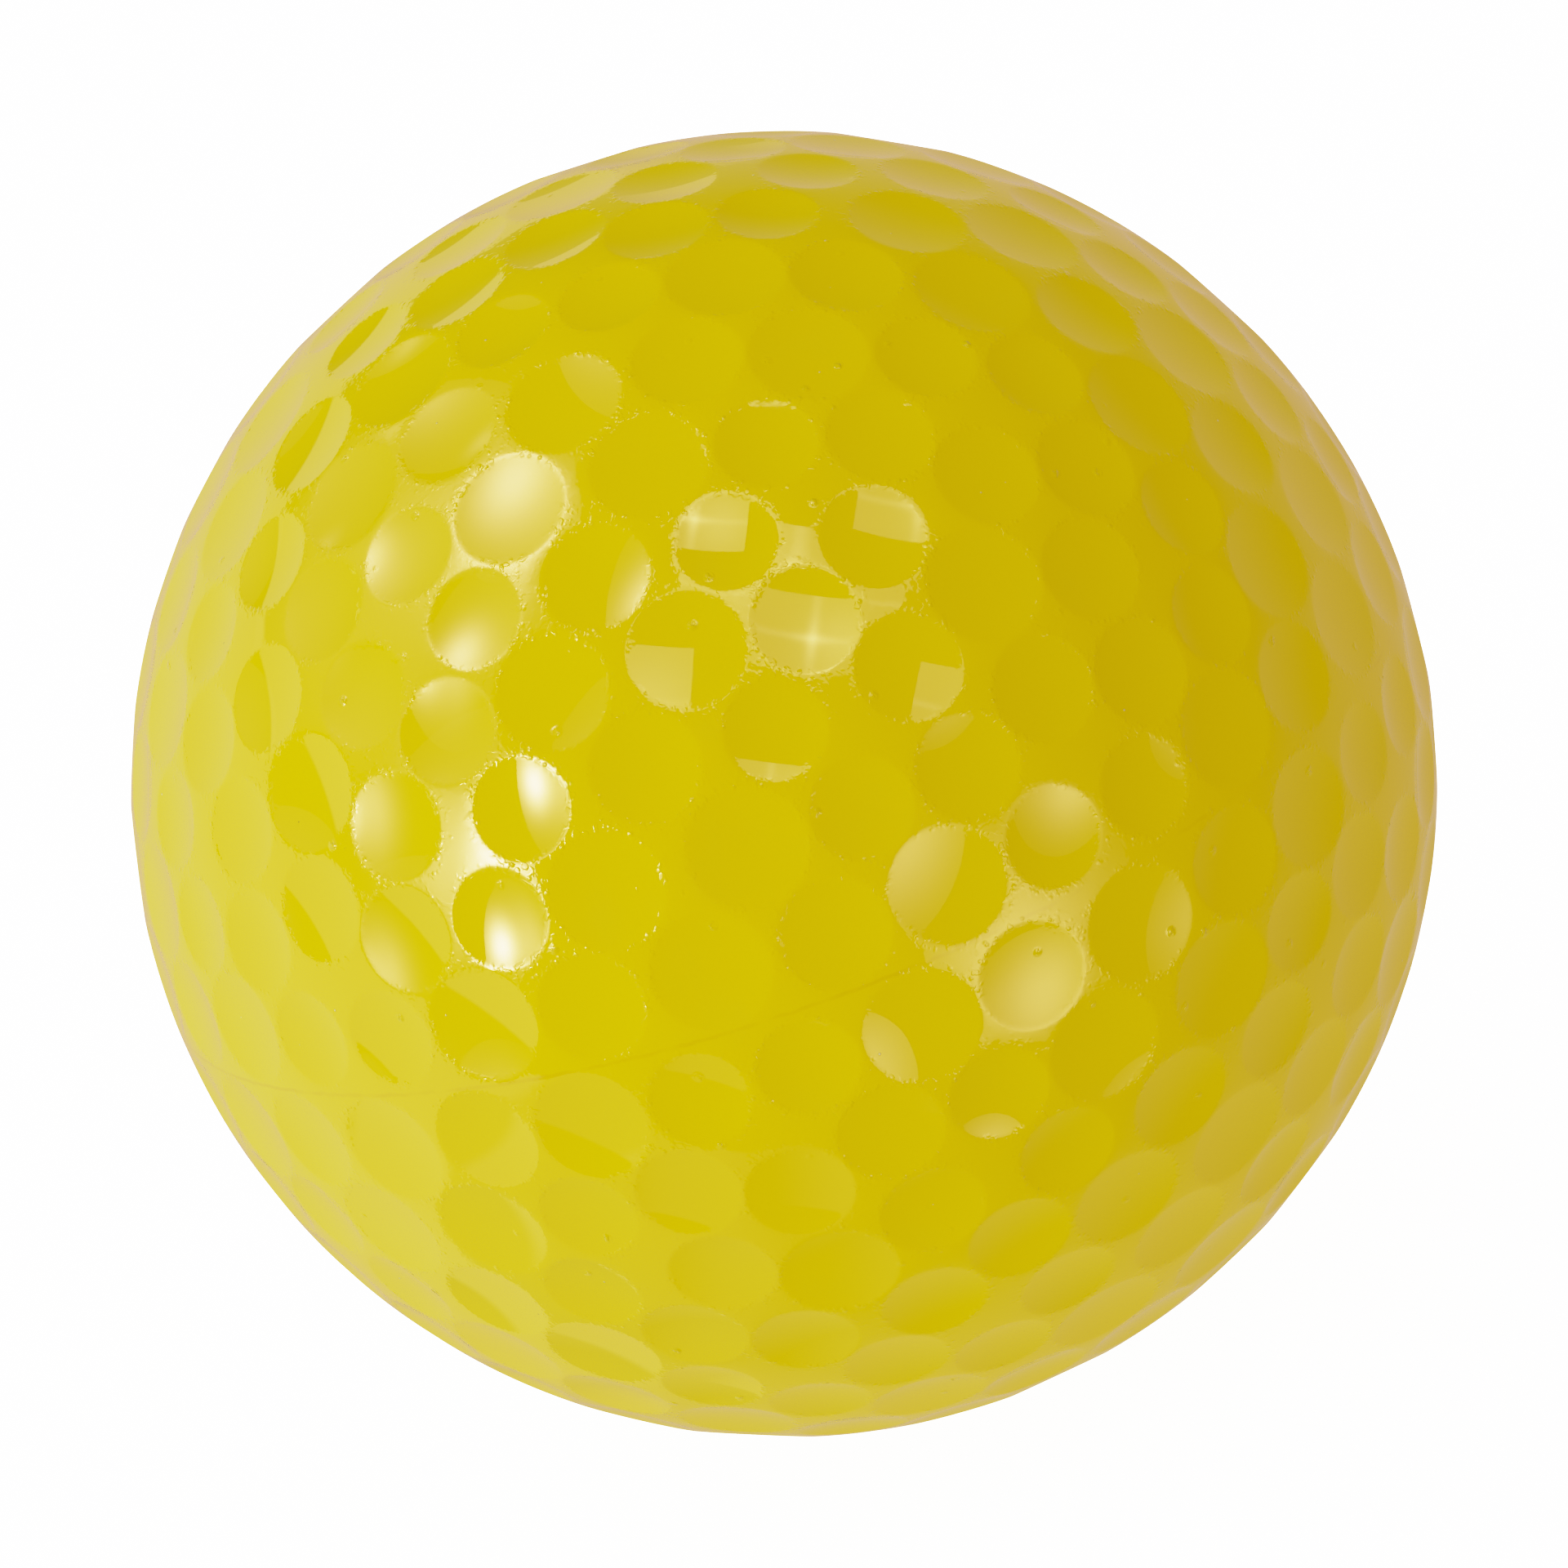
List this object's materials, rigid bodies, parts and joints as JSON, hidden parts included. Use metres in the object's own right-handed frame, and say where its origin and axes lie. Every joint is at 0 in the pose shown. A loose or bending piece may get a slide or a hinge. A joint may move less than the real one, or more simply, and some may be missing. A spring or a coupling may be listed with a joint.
{
  "type": "golf ball",
  "caption": "Solid two-piece ball: a rubber core in a glossy yellow dimpled cover, with a fine moulding seam round its middle.",
  "frame": {"origin": "the ball's centre", "axes": "+Z is the mould axis, through the poles of both cover halves; the seam lies in the plane z = 0; +X goes through the seam's plane at the longitude of an upper belt corner of the dimple pattern"},
  "size_m": [0.0426, 0.0426, 0.0426],
  "materials": {
    "core_rubber": "matt ground rubber",
    "cover_yellow": "painted yellow under a glossy clear lacquer"
  },
  "bodies": {
    "root": {"core": "core_rubber", "cover_upper_half": "cover_yellow", "cover_lower_half": "cover_yellow"}
  },
  "joints": []
}
